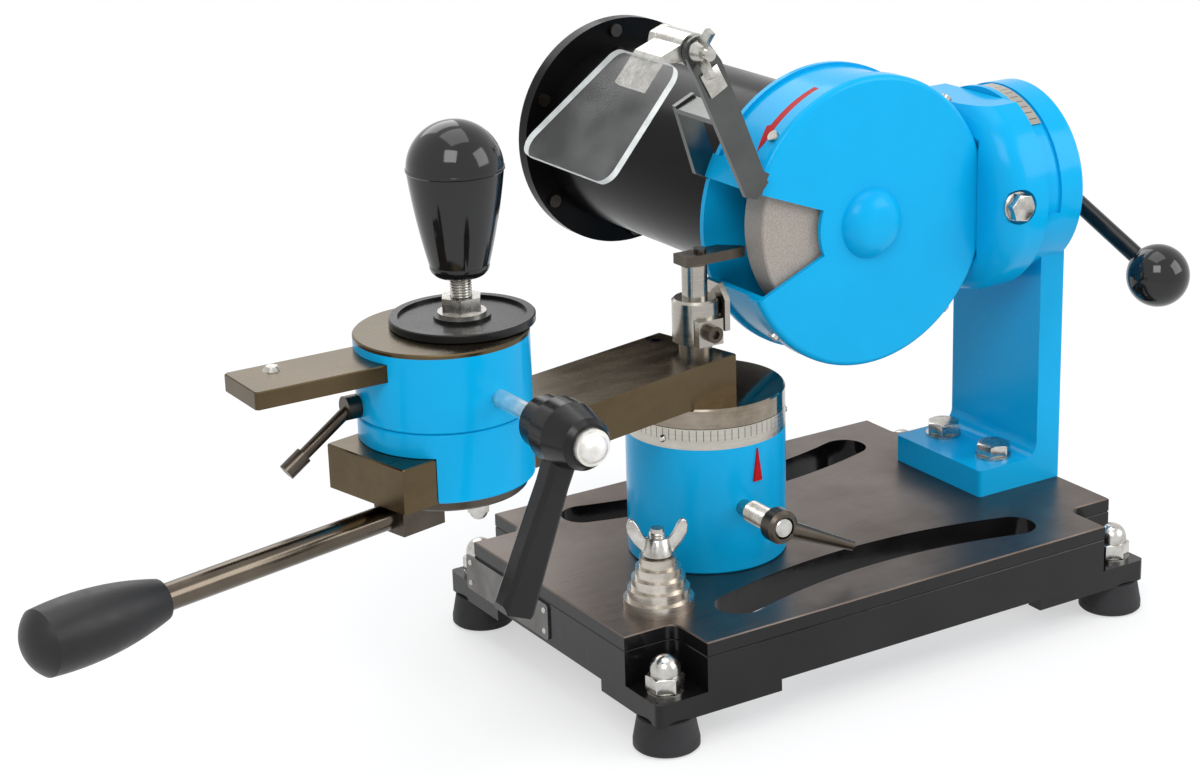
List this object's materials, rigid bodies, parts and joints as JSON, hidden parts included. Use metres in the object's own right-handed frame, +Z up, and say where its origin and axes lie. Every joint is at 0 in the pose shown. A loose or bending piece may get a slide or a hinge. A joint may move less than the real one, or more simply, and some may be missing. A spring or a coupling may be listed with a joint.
{
  "type": "saw blade sharpening grinder",
  "caption": "Bench grinder for sharpening saw blades, with a tilting motor head, clear eye shield, swinging arm, tooth rest and clamping work head.",
  "frame": {"origin": "on the floor under the rubber feet, straight below the axis that the arm swings about", "axes": "+Z up; -Y is the front, towards the operator at the guard cover; +X runs from the pivot towards the column, along the length of the base"},
  "size_m": [0.616, 0.3737, 0.324],
  "materials": {
    "base_black": "gloss black enamel over cast iron",
    "table_steel": "ground steel, slightly stained",
    "blue_enamel": "bright blue gloss enamel",
    "zinc": "bright zinc plated",
    "polished": "polished turned steel",
    "oiled_steel": "ground and oiled bar steel",
    "black_plastic": "black phenolic",
    "matte_grip": "matte black plastic grip",
    "black_metal": "satin black enamel",
    "plate_silver": "bare anodised plate",
    "foot_rubber": "moulded black rubber",
    "pointer_red": "red lacquer",
    "shield_clear": "clear polycarbonate",
    "wheel_grit": "resin bonded abrasive",
    "copper_core": "laminated core with varnished windings"
  },
  "bodies": {
    "base": {"base_casting": "base_black", "table_top": "table_steel", "name_plate": "plate_silver", "rubber_feet": "foot_rubber", "foot_studs": "zinc", "washers": "zinc", "acorn_nuts": "zinc", "column": "blue_enamel", "column_bolts": "zinc", "tilt_scale": "polished", "pivot_housing": "blue_enamel", "housing_screws": "zinc", "scale_ring": "polished", "ring_pins": "zinc", "pivot_pointer": "pointer_red", "cone_stud": "zinc", "centring_cone": "polished", "tilt_stud": "zinc"},
    "wing": {"wing_nut": "zinc"},
    "pivot_clamp": {"pivot_lever": "zinc", "pivot_handle": "polished"},
    "arm": {"turntable_disc": "polished", "arm_bar": "oiled_steel", "arm_screws": "black_metal", "rest_collar": "polished", "collar_screw": "black_metal"},
    "rest": {"rest_post": "polished", "tooth_finger": "oiled_steel"},
    "carriage": {"head_base": "blue_enamel", "head_plate": "polished", "feed_rod": "oiled_steel", "feed_grip": "matte_grip"},
    "head": {"head_body": "blue_enamel", "head_cap": "oiled_steel", "blade_flange": "black_metal", "blade_stud": "zinc", "blade_nut": "zinc"},
    "knob": {"pear_knob": "black_plastic"},
    "index": {"index_bar": "oiled_steel", "index_screw": "zinc"},
    "head_clamp": {"clamp_screw": "zinc", "clamp_lever": "black_metal"},
    "head_lock": {"lock_lever": "zinc"},
    "grinder": {"tilt_drum": "blue_enamel", "drum_bolt": "zinc", "motor_body": "black_metal", "motor_stator": "copper_core", "motor_cover": "black_metal", "case_screws": "zinc", "guard_shell": "blue_enamel", "guard_cover": "blue_enamel", "shield_bracket": "polished"},
    "spindle": {"motor_shaft": "polished", "grinding_wheel": "wheel_grit", "wheel_flanges": "polished"},
    "tilt_clamp": {"tilt_lever": "black_metal", "ball_knob": "black_plastic"},
    "shield": {"shield_pane": "shield_clear", "shield_clamp": "zinc"}
  },
  "joints": [
    {"name": "arm_swing", "type": "hinge", "parent": "base", "child": "arm", "pos_m": [0, 0, 0.1277], "axis": [0, 0, 1], "range_deg": [-20, 20]},
    {"name": "post_lift", "type": "slide", "parent": "arm", "child": "rest", "axis": [0, 0, 1], "range_m": [-0.008, 0.012]},
    {"name": "carriage_slide", "type": "slide", "parent": "arm", "child": "carriage", "axis": [0.975, 0.2224, 0], "range_m": [-0.008, 0.01]},
    {"name": "head_turn", "type": "hinge", "parent": "carriage", "child": "head", "pos_m": [-0.16216, -0.03371, 0.17], "axis": [0, 0, 1], "range_deg": [-20, 20]},
    {"name": "index_slide", "type": "slide", "parent": "head", "child": "index", "axis": [-1, 0, 0], "range_m": [-0.003, 0.03]},
    {"name": "knob_spin", "type": "hinge", "parent": "head", "child": "knob", "pos_m": [-0.15016, -0.03171, 0.24], "axis": [0, 0, 1], "continuous": true},
    {"name": "head_clamp_turn", "type": "hinge", "parent": "head", "child": "head_clamp", "pos_m": [-0.15536, -0.11371, 0.1828], "axis": [0, -1, 0], "range_deg": [-40, 60]},
    {"name": "head_lock_turn", "type": "hinge", "parent": "head", "child": "head_lock", "pos_m": [-0.20216, -0.02621, 0.1758], "axis": [-1, 0, 0], "range_deg": [-60, 60]},
    {"name": "pivot_clamp_turn", "type": "hinge", "parent": "base", "child": "pivot_clamp", "pos_m": [-0.0045, -0.05, 0.0856], "axis": [0, -1, 0], "range_deg": [-5, 110]},
    {"name": "wing_spin", "type": "hinge", "parent": "base", "child": "wing", "pos_m": [-0.0617, -0.0505, 0.085], "axis": [0, 0, 1], "continuous": true},
    {"name": "head_tilt", "type": "hinge", "parent": "base", "child": "grinder", "pos_m": [0.18, 0.004, 0.212], "axis": [1, 0, 0], "range_deg": [-20, 20]},
    {"name": "tilt_clamp_turn", "type": "hinge", "parent": "base", "child": "tilt_clamp", "pos_m": [0.215, 0.004, 0.212], "axis": [1, 0, 0], "range_deg": [-60, 35]},
    {"name": "spindle_spin", "type": "hinge", "parent": "grinder", "child": "spindle", "pos_m": [0.0827, 0, 0.216], "axis": [0, 1, 0], "continuous": true},
    {"name": "shield_hinge", "type": "hinge", "parent": "grinder", "child": "shield", "pos_m": [-0.02101, -0.02, 0.31196], "axis": [0, 1, 0], "range_deg": [-10, 70]}
  ]
}
